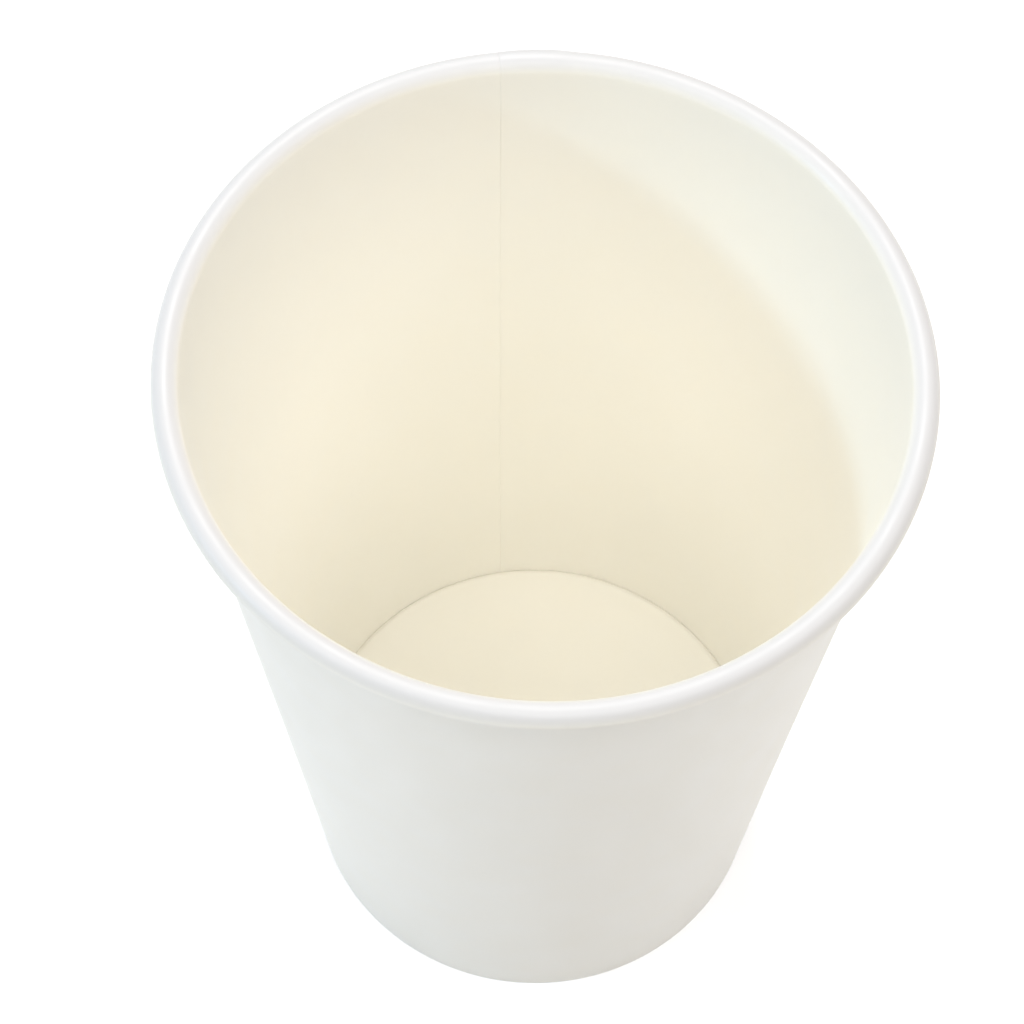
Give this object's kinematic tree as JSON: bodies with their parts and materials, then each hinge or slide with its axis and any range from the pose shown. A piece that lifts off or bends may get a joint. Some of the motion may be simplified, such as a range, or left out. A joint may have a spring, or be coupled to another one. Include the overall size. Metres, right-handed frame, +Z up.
{
  "type": "paper coffee cup",
  "caption": "Tall tapered paper cup with a rolled rim, a lapped side seam and a recessed bottom disc held in the folded foot.",
  "frame": {"origin": "centre of the foot on the table", "axes": "+Z up along the cup's axis to the rim; the side seam is at +Y"},
  "size_m": [0.09, 0.09, 0.115],
  "materials": {
    "wall_board": "matt white board outside, satin coating inside",
    "floor_board": "satin coated board"
  },
  "bodies": {
    "root": {"sidewall": "wall_board", "bottom_disc": "floor_board"}
  },
  "joints": []
}
